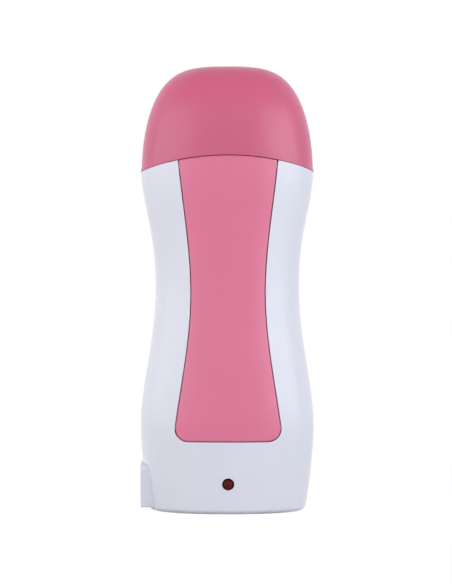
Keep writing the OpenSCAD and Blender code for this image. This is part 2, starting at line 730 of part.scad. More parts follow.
// The head snaps over the bottle's neck: a skirt with a rim to lift it by, sloping shoulders that
// end in a low lip on each side of the roller, and two rounded cheeks that carry its journals
module roller_head() {
    half_d = cartridge_d / 2;
    lip_d = roller_d / 2 + 1.5;
    cheek_r = 6.5;
    shoulders = concat([[half_d, head_top_z - 0.5]], eased(half_d, lip_d, head_top_z, head_lip_z - 1, 8),
        [[lip_d - 0.3, head_lip_z - 0.3], [lip_d - 0.9, head_lip_z]]);
    cheek = concat([[lip_d + 0.5, head_lip_z - 6]],
        eased(lip_d, cheek_r, head_lip_z - 2.5, roller_z, 6),
        [for (a = [15 : 15 : 90]) [cheek_r * cos(a), roller_z + cheek_r * sin(a)]]);
    color([0.93, 0.92, 0.90]) difference() {
        union() {
            oval(cartridge_w, cartridge_d, cartridge_r, bottle_top_z - 7.9, head_top_z);
            oval(cartridge_w + 3, cartridge_d + 3, cartridge_r + 1.5, mouth_z + 2.6, mouth_z + 4.2);
            head_bar(-cheek_x[1], cheek_x[1], shoulders);
            for (s = [-1, 1])
                head_bar(s > 0 ? cheek_x[0] : -cheek_x[1], s > 0 ? cheek_x[1] : -cheek_x[0], cheek);
        }
        bar_x(cartridge_y, roller_z, roller_d + 1, -cheek_x[0], cheek_x[0]);
        oval(cartridge_w - 6 + 0.2, cartridge_d - 6 + 0.2, cartridge_r - 2.9,
            bottle_top_z - 9, bottle_top_z);
        oval(40, 9, 4.4, bottle_top_z - 1, roller_z);
        bar_x(cartridge_y, roller_z, 4.1, -far, far);
    }
}

// A drum with rounded ends on two journals, turned as one
module roller() {
    r = roller_d / 2;
    round = 0.9;
    half_l = roller_l / 2;
    half = concat([[0, half_l + 2.9], [1.7, half_l + 2.9], [2, half_l + 2.6], [2, half_l]],
        [for (a = [90 : -22.5 : 0]) [r - round + round * cos(a), half_l - round + round * sin(a)]]);
    color([0.95, 0.94, 0.92]) translate([0, cartridge_y, roller_z]) rotate([0, 90, 0])
        rotate_extrude($fn = 96)
            polygon(concat(half, [for (i = [len(half) - 1 : -1 : 0]) [half[i][0], -half[i][1]]]));
}

front_shell();
rear_shell();
front_panel();
cap();
well_floor();
mouth_ring();
heating_sleeve();
heater_element();
heater_electrodes();
heater_insulation();
heater_clamp();
clamp_rivets();
thermostat();
thermal_fuse();
fuse_sleeve();
crimps();
live_wire();
neutral_wire();
lamp_wires();
lamp();
lamp_board();
lamp_resistor();
lamp_diode();
inlet_housing();
inlet_pins();
case_screws();
cartridge_bottle();
cartridge_wax();
roller_head();
roller();
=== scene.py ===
import math
from collections import Counter

import bmesh
import bpy
import numpy as np
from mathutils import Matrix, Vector


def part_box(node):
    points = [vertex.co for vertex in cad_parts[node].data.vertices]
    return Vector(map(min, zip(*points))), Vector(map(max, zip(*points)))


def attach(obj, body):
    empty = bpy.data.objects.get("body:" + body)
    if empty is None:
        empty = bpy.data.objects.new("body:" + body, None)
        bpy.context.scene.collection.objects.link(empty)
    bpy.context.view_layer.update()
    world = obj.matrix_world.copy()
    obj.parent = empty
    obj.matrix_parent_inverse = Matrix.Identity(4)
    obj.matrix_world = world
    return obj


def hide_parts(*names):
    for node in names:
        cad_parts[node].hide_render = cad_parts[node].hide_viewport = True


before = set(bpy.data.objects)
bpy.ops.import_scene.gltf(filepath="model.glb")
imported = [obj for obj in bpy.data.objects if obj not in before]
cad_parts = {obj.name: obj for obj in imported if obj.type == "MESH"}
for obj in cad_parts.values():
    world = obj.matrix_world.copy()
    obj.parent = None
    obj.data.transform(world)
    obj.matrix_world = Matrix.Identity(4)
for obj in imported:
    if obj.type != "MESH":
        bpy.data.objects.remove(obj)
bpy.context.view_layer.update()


# ---- Studio ------------------------------------------------------------------------------
# A white table under soft light from the front and both sides, as product pictures are
# taken. The camera stands level, facing the heater square on and half way up it.

mm = 0.001
photo_w, photo_h = 452, 584
mm_per_px = 0.44  # at the parting plane of the casing
base_row = 508.5  # picture row of the base, at the parting plane
middle_column = 227.2  # picture column of the heater's middle
view_distance = 850 * mm
aside = 14 * mm  # the camera stands a little left of the heater's middle
picture_tall = mm_per_px * mm * photo_h

camera = bpy.data.objects.new("camera", bpy.data.cameras.new("camera"))
camera.data.sensor_width = 36
camera.data.lens = camera.data.sensor_width * view_distance / picture_tall
camera.data.shift_x = aside / picture_tall
camera.location = (
    (photo_w / 2 - middle_column) * mm_per_px * mm - aside,
    -view_distance,
    (base_row - photo_h / 2) * mm_per_px * mm,
)
camera.rotation_euler = (math.radians(90), 0, 0)
bpy.context.scene.collection.objects.link(camera)
bpy.context.scene.camera = camera
bpy.context.scene.view_settings.view_transform = "Standard"


def node(tree, kind, **settings):
    """A shader node. The settings name its inputs, with _ for a space, or its properties."""
    made = tree.nodes.new(kind)
    for key, value in settings.items():
        socket = key.replace("_", " ")
        if socket in made.inputs:
            made.inputs[socket].default_value = value
        else:
            setattr(made, key, value)
    return made


def seen_directly(tree):
    """1 for rays that show the background: from the camera, a gloss or through something clear."""
    path = node(tree, "ShaderNodeLightPath")
    glossy = node(tree, "ShaderNodeMath", operation="MAXIMUM")
    both = node(tree, "ShaderNodeMath", operation="MAXIMUM")
    tree.links.new(path.outputs["Is Glossy Ray"], glossy.inputs[0])
    tree.links.new(path.outputs["Is Transmission Ray"], glossy.inputs[1])
    tree.links.new(path.outputs["Is Camera Ray"], both.inputs[0])
    tree.links.new(glossy.outputs[0], both.inputs[1])
    return both.outputs[0]


def light_up_world(ambient):
    """Soft light from all round, brighter from the left and dark overhead. It is seen as white."""
    world = bpy.data.worlds.new("studio")
    bpy.context.scene.world = world
    world.use_nodes = True
    tree = world.node_tree
    tree.nodes.clear()
    link = tree.links.new
    soft = node(tree, "ShaderNodeBackground", Color=(*ambient, 1))
    white = node(tree, "ShaderNodeBackground", Color=(1, 1, 1, 1), Strength=1)
    direction = node(tree, "ShaderNodeSeparateXYZ")
    overhead = node(tree, "ShaderNodeMapRange", From_Max=0.85, To_Min=1, To_Max=0)
    sideways = node(tree, "ShaderNodeMapRange", From_Min=-1, To_Min=1.34, To_Max=0.92)
    strength = node(tree, "ShaderNodeMath", operation="MULTIPLY")
    mix = node(tree, "ShaderNodeMixShader")
    link(node(tree, "ShaderNodeTexCoord").outputs["Generated"], direction.inputs[0])
    link(direction.outputs["Z"], overhead.inputs["Value"])
    link(direction.outputs["X"], sideways.inputs["Value"])
    link(overhead.outputs["Result"], strength.inputs[0])
    link(sideways.outputs["Result"], strength.inputs[1])
    link(strength.outputs[0], soft.inputs["Strength"])
    link(seen_directly(tree), mix.inputs[0])
    link(soft.outputs[0], mix.inputs[1])
    link(white.outputs[0], mix.inputs[2])
    link(mix.outputs[0], node(tree, "ShaderNodeOutputWorld").inputs[0])


light_up_world(ambient=(1.93, 1.93, 1.96))


heater_middle = (0, 0, 95 * mm)


def softbox(name, width, height, place, power, colour):
    """A square lamp that faces the heater's middle."""
    light = bpy.data.lights.new(name, "AREA")
    light.color = colour
    light.shape = "RECTANGLE"
    light.size, light.size_y = width, height
    light.energy = power
    box = bpy.data.objects.new(name, light)
    box.location = place
    box.rotation_euler = (Vector(heater_middle) - Vector(place)).to_track_quat("-Z", "Y").to_euler()
    bpy.context.scene.collection.objects.link(box)


softbox("key", width=1.9, height=1.6, place=(-1.3, -0.7, 0.15), power=13, colour=(1, 0.985, 0.965))
softbox("fill", width=1.4, height=1.4, place=(1.2, -0.75, 0.15), power=16.5, colour=(0.93, 0.965, 1))


def white_table():
    """A matt grey-white table, seen as white with the heater's shadow on it."""
    reach = 4.0  # metres from the middle to the edge
    fade_from, fade_to = 60 * mm, 220 * mm  # the seen table turns plain white between these
    corners = [(-reach, -reach, 0), (reach, -reach, 0), (reach, reach, 0), (-reach, reach, 0)]
    tabletop = bpy.data.meshes.new("table")
    tabletop.from_pydata(corners, [], [(0, 1, 2, 3)])
    table = bpy.data.objects.new("table", tabletop)
    bpy.context.scene.collection.objects.link(table)
    paint = bpy.data.materials.new("table_white")
    paint.use_nodes = True
    tree = paint.node_tree
    tree.nodes.clear()
    link = tree.links.new
    matt = node(tree, "ShaderNodeBsdfDiffuse", Color=(0.22, 0.22, 0.22, 1))
    glow = node(tree, "ShaderNodeEmission", Color=(1, 1, 1, 1), Strength=0.9)
    lit = node(tree, "ShaderNodeAddShader")
    white = node(tree, "ShaderNodeEmission", Color=(1, 1, 1, 1), Strength=1)
    away = node(tree, "ShaderNodeVectorMath", operation="LENGTH")
    fade = node(tree, "ShaderNodeMapRange", interpolation_type="SMOOTHSTEP",
                From_Min=fade_from, From_Max=fade_to)
    shown = node(tree, "ShaderNodeMixShader")
    total = node(tree, "ShaderNodeMixShader")
    link(node(tree, "ShaderNodeTexCoord").outputs["Object"], away.inputs[0])
    link(away.outputs["Value"], fade.inputs["Value"])
    link(matt.outputs[0], lit.inputs[0])
    link(glow.outputs[0], lit.inputs[1])
    link(fade.outputs["Result"], shown.inputs[0])
    link(lit.outputs[0], shown.inputs[1])
    link(white.outputs[0], shown.inputs[2])
    link(seen_directly(tree), total.inputs[0])
    link(matt.outputs[0], total.inputs[1])
    link(shown.outputs[0], total.inputs[2])
    link(total.outputs[0], node(tree, "ShaderNodeOutputMaterial").inputs[0])
    table.data.materials.append(paint)


white_table()


# ---- Casing ------------------------------------------------------------------------------
# Two injection-moulded halves in glossy white ABS, 2 mm thick, closed along the sides by
# four screws from behind. The front half has the opening for the panel and the lamp's hole.

FRONT, REAR = -1, 1
hip_half = 38.0 * mm
base_half = 34.3 * mm
waist_half = 31.5 * mm
shoulder_half = 37.85 * mm
hip_z, waist_z, shoulder_z = 37.5 * mm, 96.6 * mm, 149 * mm
foot_bend, waist_bend, shoulder_bend = 1.6, 0.9, 1.3  # powers of the curves up the sides
front_d, rear_d = 25.4 * mm, 25.0 * mm
depth_shares = {FRONT: (0.96, 1, 0.93, 0.99), REAR: (0.96, 1, 0.94, 0.99)}  # of the full depth
section_n = 2.3  # power of the section, a squarish oval
foot_r = 2.2 * mm
wall = 2.0 * mm

arch_r, arch_z = 121.5 * mm, 32.1 * mm  # the arch of the cap's lower edge
casing_edge_rise = 0.22 * mm  # the casing's edge stands this far above the arch
cap_half, cap_half_d = 37.6 * mm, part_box("cap")[1].y
cap_flare, flare_h = 0.45 * mm, 2 * mm
dome_z, top_z = 148 * mm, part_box("cap")[1].z
dome_round, depth_rise, depth_round = 3.7, 3.2, 3.1  # powers of the dome's curves

panel_foot, panel_waist, panel_top = 23.3 * mm, 15.8 * mm, 21.4 * mm
panel_z, panel_waist_z, panel_top_z = 31.3 * mm, 94.5 * mm, 153.6 * mm
panel_corner_r = 5.4 * mm
panel_gap = 0.36 * mm

lamp_z = 13 * mm
lamp_hole_r = 2.6 * mm


def ease(u, power):
    v = np.clip(u, 0, 1) ** power
    return v * v * (3 - 2 * v)


def along(z, base, hip, waist, shoulder):
    """A size that runs base, hip, waist, shoulder up the casing."""
    low = hip - (hip - base) * np.clip(1 - z / hip_z, 0, 1) ** foot_bend
    middle = hip + (waist - hip) * ease((z - hip_z) / (waist_z - hip_z), waist_bend)
    high = waist + (shoulder - waist) * ease((z - waist_z) / (shoulder_z - waist_z), shoulder_bend)
    return np.where(z < hip_z, low, np.where(z < waist_z, middle, high))


def foot(z):
    below = np.clip(foot_r - z, 0, foot_r)
    return foot_r - np.sqrt(foot_r**2 - below**2)


def half_width(z):
    return along(z, base_half, hip_half, waist_half, shoulder_half) - foot(z)


def depth(z, side):
    full = front_d if side == FRONT else rear_d
    return along(z, *(share * full for share in depth_shares[side])) - foot(z)


def face(x, z, side, inset=0):
    """Y of the casing's surface, set in by some depth."""
    share = np.clip(np.abs(x) / (half_width(z) - inset), 0, 1)
    return side * (depth(z, side) - inset) * (1 - share**section_n) ** (1 / section_n)


def squared(wave):
    """A sine or cosine drawn out to the section's squarish oval."""
    return np.sign(wave) * np.abs(wave) ** (2 / section_n)


def across(turn, z, inset=0):
    """X on the casing's section: turn is 0 in the middle and a quarter turn at the parting line."""
    return squared(np.sin(turn)) * (half_width(z) - inset)


def turn_of(x, z):
    return np.sign(x) * np.arcsin(np.clip(np.abs(x) / half_width(z), 0, 1) ** (section_n / 2))


def arch_at(x, grow=0):
    return arch_z + np.sqrt((arch_r + grow) ** 2 - x * x)


def under_cap(x):
    """Height of the edges of the casing and the panel, which close up to the cap's edge."""
    return arch_at(x, casing_edge_rise)


def hermite(u, slope_0, slope_1):
    return slope_0 * (u**3 - 2 * u**2 + u) + 3 * u**2 - 2 * u**3 + slope_1 * (u**3 - u**2)


def panel_side(z):
    """Half the panel's width."""
    low = hermite((z - panel_z) / (panel_waist_z - panel_z), 1, 0)
    high = hermite((z - panel_waist_z) / (panel_top_z - panel_waist_z), 0, 1)
    return np.where(
        z < panel_waist_z,
        panel_foot + (panel_waist - panel_foot) * low,
        panel_waist + (panel_top - panel_waist) * high,
    )


corner_z = panel_z + panel_corner_r
corner_x = float(panel_side(corner_z)) - panel_corner_r
corner_steps = 12
side_steps = 58
foot_steps = 12
lamp_cells = 6  # cells of 1 mm from the middle of the lamp's hole to the edge of its patch


def panel_edge(grow, top):
    """X and Z down the panel's right edge, round its corner and in to the middle of its foot."""
    side_zs = np.linspace(top, corner_z, side_steps, endpoint=False)
    angles = np.linspace(0, -math.pi / 2, corner_steps, endpoint=False)
    near_lamp = np.arange(lamp_cells, -1, -1) * mm
    outside = np.linspace(corner_x, near_lamp[0], foot_steps - lamp_cells, endpoint=False)
    foot_xs = np.concatenate([outside, near_lamp])
    r = panel_corner_r + grow
    xs = [panel_side(side_zs) + grow, corner_x + r * np.cos(angles), foot_xs]
    zs = [side_zs, corner_z + r * np.sin(angles), np.full(len(foot_xs), panel_z - grow)]
    return np.concatenate(xs), np.concatenate(zs)


def mirror_lines(right, sign):
    """Lines of the right half, and their mirror images back up the left."""
    return np.concatenate([right, sign * right[-2::-1]])


def walled(sheets, marked=True):
    """A closed wall: sheets are (outer points, inner points, kept cells). Marks its outer rims."""
    weld = 0.002 * mm  # points that differ by less are one
    index, outer_points, inner_points, cells = {}, [], [], []
    for outer, inner, kept in sheets:
        ids = np.empty(outer.shape[:2], int)
        for at in np.ndindex(ids.shape):
            key = tuple(np.round(outer[at] / weld).astype(int))
            if key not in index:
                index[key] = len(outer_points)
                outer_points.append(outer[at])
                inner_points.append(inner[at])
            ids[at] = index[key]
        for i, j in zip(*np.nonzero(kept)):
            loop = [ids[i, j], ids[i, j + 1], ids[i + 1, j + 1], ids[i + 1, j]]
            cells.append([a for a, b in zip(loop, loop[1:] + loop[:1]) if a != b])
    count = len(outer_points)
    sides = [(a, b) for cell in cells for a, b in zip(cell, cell[1:] + cell[:1])]
    uses = Counter(frozenset(side) for side in sides)
    rims = [side for side in sides if uses[frozenset(side)] == 1]
    faces = cells + [[a + count for a in reversed(cell)] for cell in cells]
    faces += [[b, a, a + count, b + count] for a, b in rims]
    return solid(np.concatenate([outer_points, inner_points]).tolist(), faces, rims if marked else [])


def solid(points, faces, rounded=()):
    """A mesh with its faces turned outward and the rounded edges marked."""
    mesh = bpy.data.meshes.new("solid")
    mesh.from_pydata(points, [], faces)
    wanted = {tuple(sorted(map(int, pair))) for pair in rounded}
    bm = bmesh.new()
    bm.from_mesh(mesh)
    mark = bm.edges.layers.float.new("bevel_weight_edge")
    for edge in bm.edges:
        edge[mark] = tuple(sorted(v.index for v in edge.verts)) in wanted
    bmesh.ops.delete(bm, geom=[v for v in bm.verts if not v.link_faces], context="VERTS")
    bmesh.ops.recalc_face_normals(bm, faces=bm.faces)
    bm.to_mesh(mesh)
    bm.free()
    return mesh


def shaped(mesh, round_by=0, cutters=()):
    """The mesh with its marked edges rounded and the cutters taken out of it."""
    blank = bpy.data.objects.new("blank", mesh)
    tools = [bpy.data.objects.new("cutter", cutter) for cutter in cutters]
    for made in [blank, *tools]:
        bpy.context.scene.collection.objects.link(made)
    if round_by:
        bevel = blank.modifiers.new("round", "BEVEL")
        bevel.limit_method = "WEIGHT"
        bevel.width, bevel.segments = round_by, 3
        bevel.use_clamp_overlap = False
    for tool in tools:
        cut = blank.modifiers.new("cut", "BOOLEAN")
        cut.operation, cut.solver, cut.object = "DIFFERENCE", "MANIFOLD", tool
    ready = blank.evaluated_get(bpy.context.evaluated_depsgraph_get())
    result = bpy.data.meshes.new_from_object(ready)
    for made in [blank, *tools]:
        bpy.data.objects.remove(made)
    return result


def piece(name, meshes, material, body, replaced=(), crease=35):
    """One object from closed meshes, smooth except across edges sharper than the crease."""
    bm = bmesh.new()
    for mesh in meshes:
        bm.from_mesh(mesh)
    whole = bpy.data.meshes.new(name)
    bm.to_mesh(whole)
    bm.free()
    whole.polygons.foreach_set("use_smooth", [True] * len(whole.polygons))
    whole.set_sharp_from_angle(angle=math.radians(crease))
    made = bpy.data.objects.new(name, whole)
    bpy.context.scene.collection.objects.link(made)
    made.data.materials.append(material)
    weighted = made.modifiers.new("even shading", "WEIGHTED_NORMAL")
    weighted.keep_sharp = True
    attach(made, body)
    if replaced:
        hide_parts(*replaced)


def finish(name, **surface):
    """A new material, its nodes, its shader with even values set, and places on the object."""
    material = bpy.data.materials.new(name)
    material.use_nodes = True
    tree = material.node_tree
    shader = tree.nodes["Principled BSDF"]
    for key, value in surface.items():
        shader.inputs[key.replace("_", " ")].default_value = value
    return material, tree, shader, node(tree, "ShaderNodeTexCoord").outputs["Object"]


def noise(tree, place, scale, detail, distortion=0):
    made = node(tree, "ShaderNodeTexNoise", Scale=scale, Detail=detail, Distortion=distortion)
    tree.links.new(place, made.inputs["Vector"])
    return made.outputs["Fac"]


def toned(tree, source, stops, socket, steps="LINEAR"):
    """Colours a socket by (position, colour) stops along the source."""
    tone = node(tree, "ShaderNodeValToRGB")
    ramp = tone.color_ramp
    ramp.interpolation = steps
    for end, (at, colour) in ((0, stops[0]), (1, stops[-1])):
        ramp.elements[end].position, ramp.elements[end].color = at, (*colour, 1)
    for at, colour in stops[1:-1]:
        ramp.elements.new(at).color = (*colour, 1)
    tree.links.new(source, tone.inputs["Fac"])
    tree.links.new(tone.outputs["Color"], socket)


def uneven_gloss(tree, source, low, high, shader):
    """Roughness from low to high along the source."""
    spread = node(tree, "ShaderNodeMapRange", To_Min=low, To_Max=high)
    tree.links.new(source, spread.inputs["Value"])
    tree.links.new(spread.outputs["Result"], shader.inputs["Roughness"])


def raised(tree, source, strength, height, shader, edge=0.0):
    """Relief along the source. Edges look rounded by the edge's radius, where one is given."""
    bump = node(tree, "ShaderNodeBump", Strength=strength, Distance=height)
    tree.links.new(source, bump.inputs["Height"])
    tree.links.new(bump.outputs["Normal"], shader.inputs["Normal"])
    if edge:
        rounded = node(tree, "ShaderNodeBevel", Radius=edge, samples=4)
        tree.links.new(rounded.outputs["Normal"], bump.inputs["Normal"])


def moulded(name, colour, roughness, cloud=0.02, peel=0.012, edge=0.0, **surface):
    """Injection-moulded plastic: faintly clouded colour, uneven gloss and a fine orange peel."""
    material, tree, shader, place = finish(name, IOR=1.5, Coat_Roughness=0.05, **surface)
    low, high = (tuple(c * (1 + s) for c in colour) for s in (-cloud, cloud))
    toned(tree, noise(tree, place, 45, 3), [(0.3, low), (0.7, high)], shader.inputs["Base Color"])
    uneven_gloss(tree, noise(tree, place, 160, 4), roughness * 0.85, roughness * 1.15, shader)
    raised(tree, noise(tree, place, 900, 2), peel, 0.1 * mm, shader, edge)
    return material


casing_white = moulded("casing_white", (0.7, 0.71, 0.8), roughness=0.3)

# The front half is skinned along lines that leave the opening square to its edge and run out
# to the parting line or down to the foot.
lamp_patch = lamp_cells * mm
opening_foot_z = panel_z - panel_gap
side_top_z = 151.7 * mm  # about where the opening's sides reach the cap's edge
opening_top_z = float(under_cap(panel_side(side_top_z) + panel_gap))
lift_from_z = 125 * mm  # above this, the lines lift to follow the cap's edge
corner_side_steps = 7  # of the corner's lines, those that end on the parting line
rows_over_patch, rows_under_patch = 6, 4


def line_shares():
    """How far along each line its points stand, so that the lamp's patch has cells of 1 mm."""
    drop = opening_foot_z - foot_r
    patch = [(opening_foot_z - lamp_z + dz * mm) / drop for dz in range(-lamp_cells, lamp_cells + 1)]
    before = np.linspace(0, patch[0], rows_over_patch + 1)[:-1]
    after = np.linspace(patch[-1], 1, rows_under_patch + 1)[1:]
    return np.concatenate([before, patch, after]), len(before)


shares, patch_row = line_shares()


def front_lines():
    """Ends of the right half's lines: turn and height at the opening, and at the casing's edge."""
    x_in, z_in = panel_edge(panel_gap, opening_top_z)
    turn_in = turn_of(x_in, z_in)
    turn_out = np.full(len(x_in), math.pi / 2)
    z_out = z_in.copy()
    corner = slice(side_steps, side_steps + corner_side_steps + 1)
    z_out[corner] = np.linspace(corner_z, foot_r, corner_side_steps + 1)
    z_out[corner.stop:] = foot_r
    last_turns = turn_of(x_in[side_steps + corner_steps:], foot_r)
    base_part = slice(corner.stop - 1, side_steps + corner_steps + 1)
    steps = base_part.stop - base_part.start
    turn_out[base_part] = np.linspace(math.pi / 2, last_turns[0], steps)
    turn_out[side_steps + corner_steps:] = last_turns
    lift = np.clip((z_in - lift_from_z) / (opening_top_z - lift_from_z), 0, 1)
    z_out += lift * (float(under_cap(shoulder_half)) - opening_top_z)
    return turn_in, z_in, turn_out, z_out, lift


def mapped_to_hole(x, z, first_column, first_row):
    """Moves the points of the lamp's patch so that a ring of them is the hole's round edge."""
    for j in range(-lamp_cells, lamp_cells + 1):
        for i in range(-lamp_cells, lamp_cells + 1):
            ring = max(abs(i), abs(j))
            if ring == 0:
                continue
            out = min(1, max(0, 2 * ring / lamp_cells - 1))
            square = np.array([i, j]) / ring * lamp_patch
            circle = np.array([i, j]) / math.hypot(i, j) * lamp_hole_r * min(1, 2 * ring / lamp_cells)
            dx, dz = circle + (square - circle) * out
            x[first_column + lamp_cells - i, first_row + lamp_cells - j] = dx
            z[first_column + lamp_cells - i, first_row + lamp_cells - j] = lamp_z + dz


def skin_points(x, z, side, turn, lean=1.0):
    """Outer and inner points of a wall. Lean is 1 where the inner x follows the section."""
    z_inner = np.where(z < foot_r, wall + z * (1 - wall / foot_r), z)
    x_inner = x + (across(turn, z_inner, wall) - x) * lean**2
    outer = np.stack([x, face(x, z, side), z], -1)
    inner = np.stack([x_inner, face(x_inner, z_inner, side, wall), z_inner], -1)
    return outer, inner


def front_sheet():
    turn_in, z_in, turn_out, z_out, lift = front_lines()
    turn = turn_in[:, None] + (turn_out - turn_in)[:, None] * shares
    z = z_in[:, None] + (z_out - z_in)[:, None] * shares
    straight_arch = opening_top_z + (z_out[0] - opening_top_z) * shares
    z = z + lift[:, None] * (under_cap(across(turn, z)) - straight_arch)
    x = across(turn, z)
    x, turn = mirror_lines(x, -1), mirror_lines(turn, -1)
    z = mirror_lines(z, 1)
    middle_line = len(turn_in) - 1
    mapped_to_hole(x, z, middle_line - lamp_cells, patch_row)
    outer, inner = skin_points(x, z, FRONT, turn, np.broadcast_to(shares, x.shape))
    kept = np.ones((x.shape[0] - 1, x.shape[1] - 1), bool)
    hole = lamp_cells // 2
    middle_row = patch_row + lamp_cells
    kept[middle_line - hole:middle_line + hole, middle_row - hole:middle_row + hole] = False
    return outer, inner, kept


def foot_sheet(turns, side):
    """The rounded foot and flat base of one half, below the points at these turns."""
    rows = []
    for angle in np.radians(np.linspace(0, 90, 8)):
        z = np.full(len(turns), foot_r * (1 - math.sin(angle)))
        rows.append(skin_points(across(turns, z), z, side, turns))
    rim = rows[-1]
    for share in (0.86, 0.7, 0.5, 0.3, 0.12, 0):
        rows.append([points * [share, share, 1] for points in rim])
    outer, inner = (np.stack(points) for points in zip(*rows))
    return outer, inner, np.ones((len(rows) - 1, len(turns) - 1), bool)


def cap_half_sizes(z, inset=0):
    """Half width and half depth of the cap at z. Its lowest few millimetres flare to the sides."""
    share = np.clip((z - dome_z) / (top_z - inset - dome_z), 0, 1)
    flare = cap_flare * np.clip(1 - np.clip(z - dome_z, 0, None) / flare_h, 0, 1)
    a = (cap_half - inset) * (1 - share**2) ** (1 / dome_round) + flare
    return a, (cap_half_d - inset) * (1 - share**depth_rise) ** (1 / depth_round)


neck_heights = np.array([144, 147, 150, 151.5, 153, 154.6, 155.8, 157, 158]) * mm
neck_faces = 2.15 * mm, 3.75 * mm  # how far in from the cap's face the neck's two faces stand
neck_cut_z = 154 * mm  # behind the panel, the neck starts above this


def neck_sheet(side):
    """The neck inside the cap, cut away behind the front panel."""
    turns, z = np.meshgrid(np.radians(np.linspace(-90, 90, 73)), neck_heights)
    skins = []
    for inset in neck_faces:
        a, b = (size - inset for size in cap_half_sizes(z))
        skins.append(np.stack([squared(np.sin(turns)) * a, side * squared(np.cos(turns)) * b, z], -1))
    x, z = skins[0][:-1, :-1, 0], skins[0][:-1, :-1, 2]
    behind_panel = (np.abs(x) < panel_top + 1 * mm) & (z < neck_cut_z) & (side == FRONT)
    return skins[0], skins[1], ~behind_panel


def turned_post(x, z, profile, side):
    """A round post along Y from (radius, y) pairs. A y of None stands in the casing's wall."""
    count, rings = 32, len(profile)
    angles = np.linspace(0, 2 * math.pi, count, endpoint=False)
    points, faces = [], []
    for r, y in profile:
        px, pz = x + r * np.cos(angles), z + r * np.sin(angles)
        py = face(px, pz, side, wall / 2) if y is None else np.full(count, y)
        points += np.stack([px, py, pz], -1).tolist()
    for i in range(rings):
        for k in range(count):
            a, b = i * count + k, i * count + (k + 1) % count
            c, d = (i + 1) % rings * count + (k + 1) % count, (i + 1) % rings * count + k
            faces.append((a, b, c, d))
    return solid(points, faces)


def ledge(z, side, way_w, way_d):
    """A shelf round the inside of one half, with an oval way through it."""
    thick, way_power = 1.6 * mm, 0.45
    turns = np.radians(np.linspace(-90, 90, 49))
    level = np.full(len(turns), z)
    x_out = across(turns, level, wall / 2)
    y_out = face(x_out, level, side, wall / 2)
    reach = np.minimum(way_w / 2 / np.maximum(np.abs(np.sin(turns)), 1e-6), 1)
    x_in = np.sign(turns) * way_w / 2 * np.clip(np.abs(np.sin(turns)) ** way_power, 0, 1) * reach
    y_in = side * (way_d / 2) * np.clip(np.cos(turns), 0, 1) ** way_power
    top = np.stack([np.stack([x_out, y_out, level], -1), np.stack([x_in, y_in, level], -1)])
    under = top - np.array([0, 0, thick])
    return walled([(top, under, np.ones((1, len(turns) - 1), bool))], marked=False)


boss_face_x, boss_inner_x = -37.9 * mm, -30.6 * mm
boss_half_d, boss_low, boss_high, boss_top_r = 11.6 * mm, 1.8 * mm, 20.7 * mm, 3 * mm
boss_round = 0.5 * mm
inlet_z = 11.25 * mm
pocket_half_d, pocket_half_h = 8.9 * mm, 5.9 * mm


def block(lows, highs):
    """A plain box."""
    bm = bmesh.new()
    bmesh.ops.create_cube(bm, size=1)
    for v in bm.verts:
        v.co = [(lo + hi) / 2 + c * (hi - lo) for lo, hi, c in zip(lows, highs, v.co)]
    mesh = bpy.data.meshes.new("block")
    bm.to_mesh(mesh)
    bm.free()
    return mesh


def tube(rings):
    """A closed bar between two outlines that have as many points."""
    count = len(rings[0])
    faces = [tuple(range(count)), tuple(range(2 * count - 1, count - 1, -1))]
    faces += [(k, (k + 1) % count, count + (k + 1) % count, count + k) for k in range(count)]
    return np.concatenate(rings).tolist(), faces


def round_cutter(x, z, r, y0, y1):
    count = 48
    angles = np.linspace(0, 2 * math.pi, count, endpoint=False)
    rings = [np.stack([x + r * np.cos(angles), np.full(count, y), z + r * np.sin(angles)], -1)
             for y in (y0, y1)]
    return solid(*tube(rings))


def inlet_boss(side):
    """Half of the flat-faced boss round the power inlet, with soft outer edges."""
    arc = np.radians(np.linspace(0, 90, 9))
    pocket_low, pocket_high = inlet_z - pocket_half_h, inlet_z + pocket_half_h
    ys = [0, boss_half_d, *(boss_half_d - boss_top_r * (1 - np.cos(arc))),
          0, 0, pocket_half_d, pocket_half_d, 0]
    zs = [boss_low, boss_low, *(boss_high - boss_top_r * (1 - np.sin(arc))),
          boss_high, pocket_high, pocket_high, pocket_low, pocket_low]
    count = len(ys)
    points, faces = tube([[(x, side * y, z) for y, z in zip(ys, zs)] for x in (boss_face_x, boss_inner_x)])
    face_edges = [(k, (k + 1) % count) for k in range(count)]
    return shaped(solid(points, faces, face_edges + [(1, count + 1)]), round_by=boss_round)


relief = 0.17 * mm  # the way through the wall clears the boss's pocket by this much
way_end_x = -23.4 * mm
inlet_cutter = [(boss_face_x - mm, -pocket_half_d - relief, inlet_z - pocket_half_h - relief),
                (way_end_x, pocket_half_d + relief, inlet_z + pocket_half_h + relief)]
screw_places = [(x * mm, z * mm) for x, z in ((-17, 24), (17, 24), (-32, 141), (32, 141))]
post_r, seat_y = 3.6 * mm, 6 * mm
pilot_r, pilot_y = 1.33 * mm, -9 * mm  # the blind holes that the screws cut their threads in
shank_way_r, head_way_r = 1.45 * mm, 2.5 * mm
axis_r = 0.01 * mm  # the blind holes' floors close up to the axis
bore_end_y = 30 * mm  # clear of the rear half's back
well_ledge_z, neck_ledge_z = 37.9 * mm, 150 * mm
well_way_w, well_way_d = 54 * mm, {FRONT: 30 * mm, REAR: 40 * mm}
neck_way = 59.4 * mm, 34.4 * mm
seam_round, neck_round = 0.15 * mm, 0.35 * mm


def half(skin, side, bores, post):
    """The skin of one half, cut for the inlet, with all that is moulded in one with it."""
    posts = [turned_post(x, z, post, side) for x, z in screw_places]
    ledges = [ledge(well_ledge_z, side, well_way_w, well_way_d[side]), ledge(neck_ledge_z, side, *neck_way)]
    return [shaped(walled(skin), seam_round, [block(*inlet_cutter), *bores]),
            shaped(walled([neck_sheet(side)]), neck_round), inlet_boss(side), *posts, *ledges]


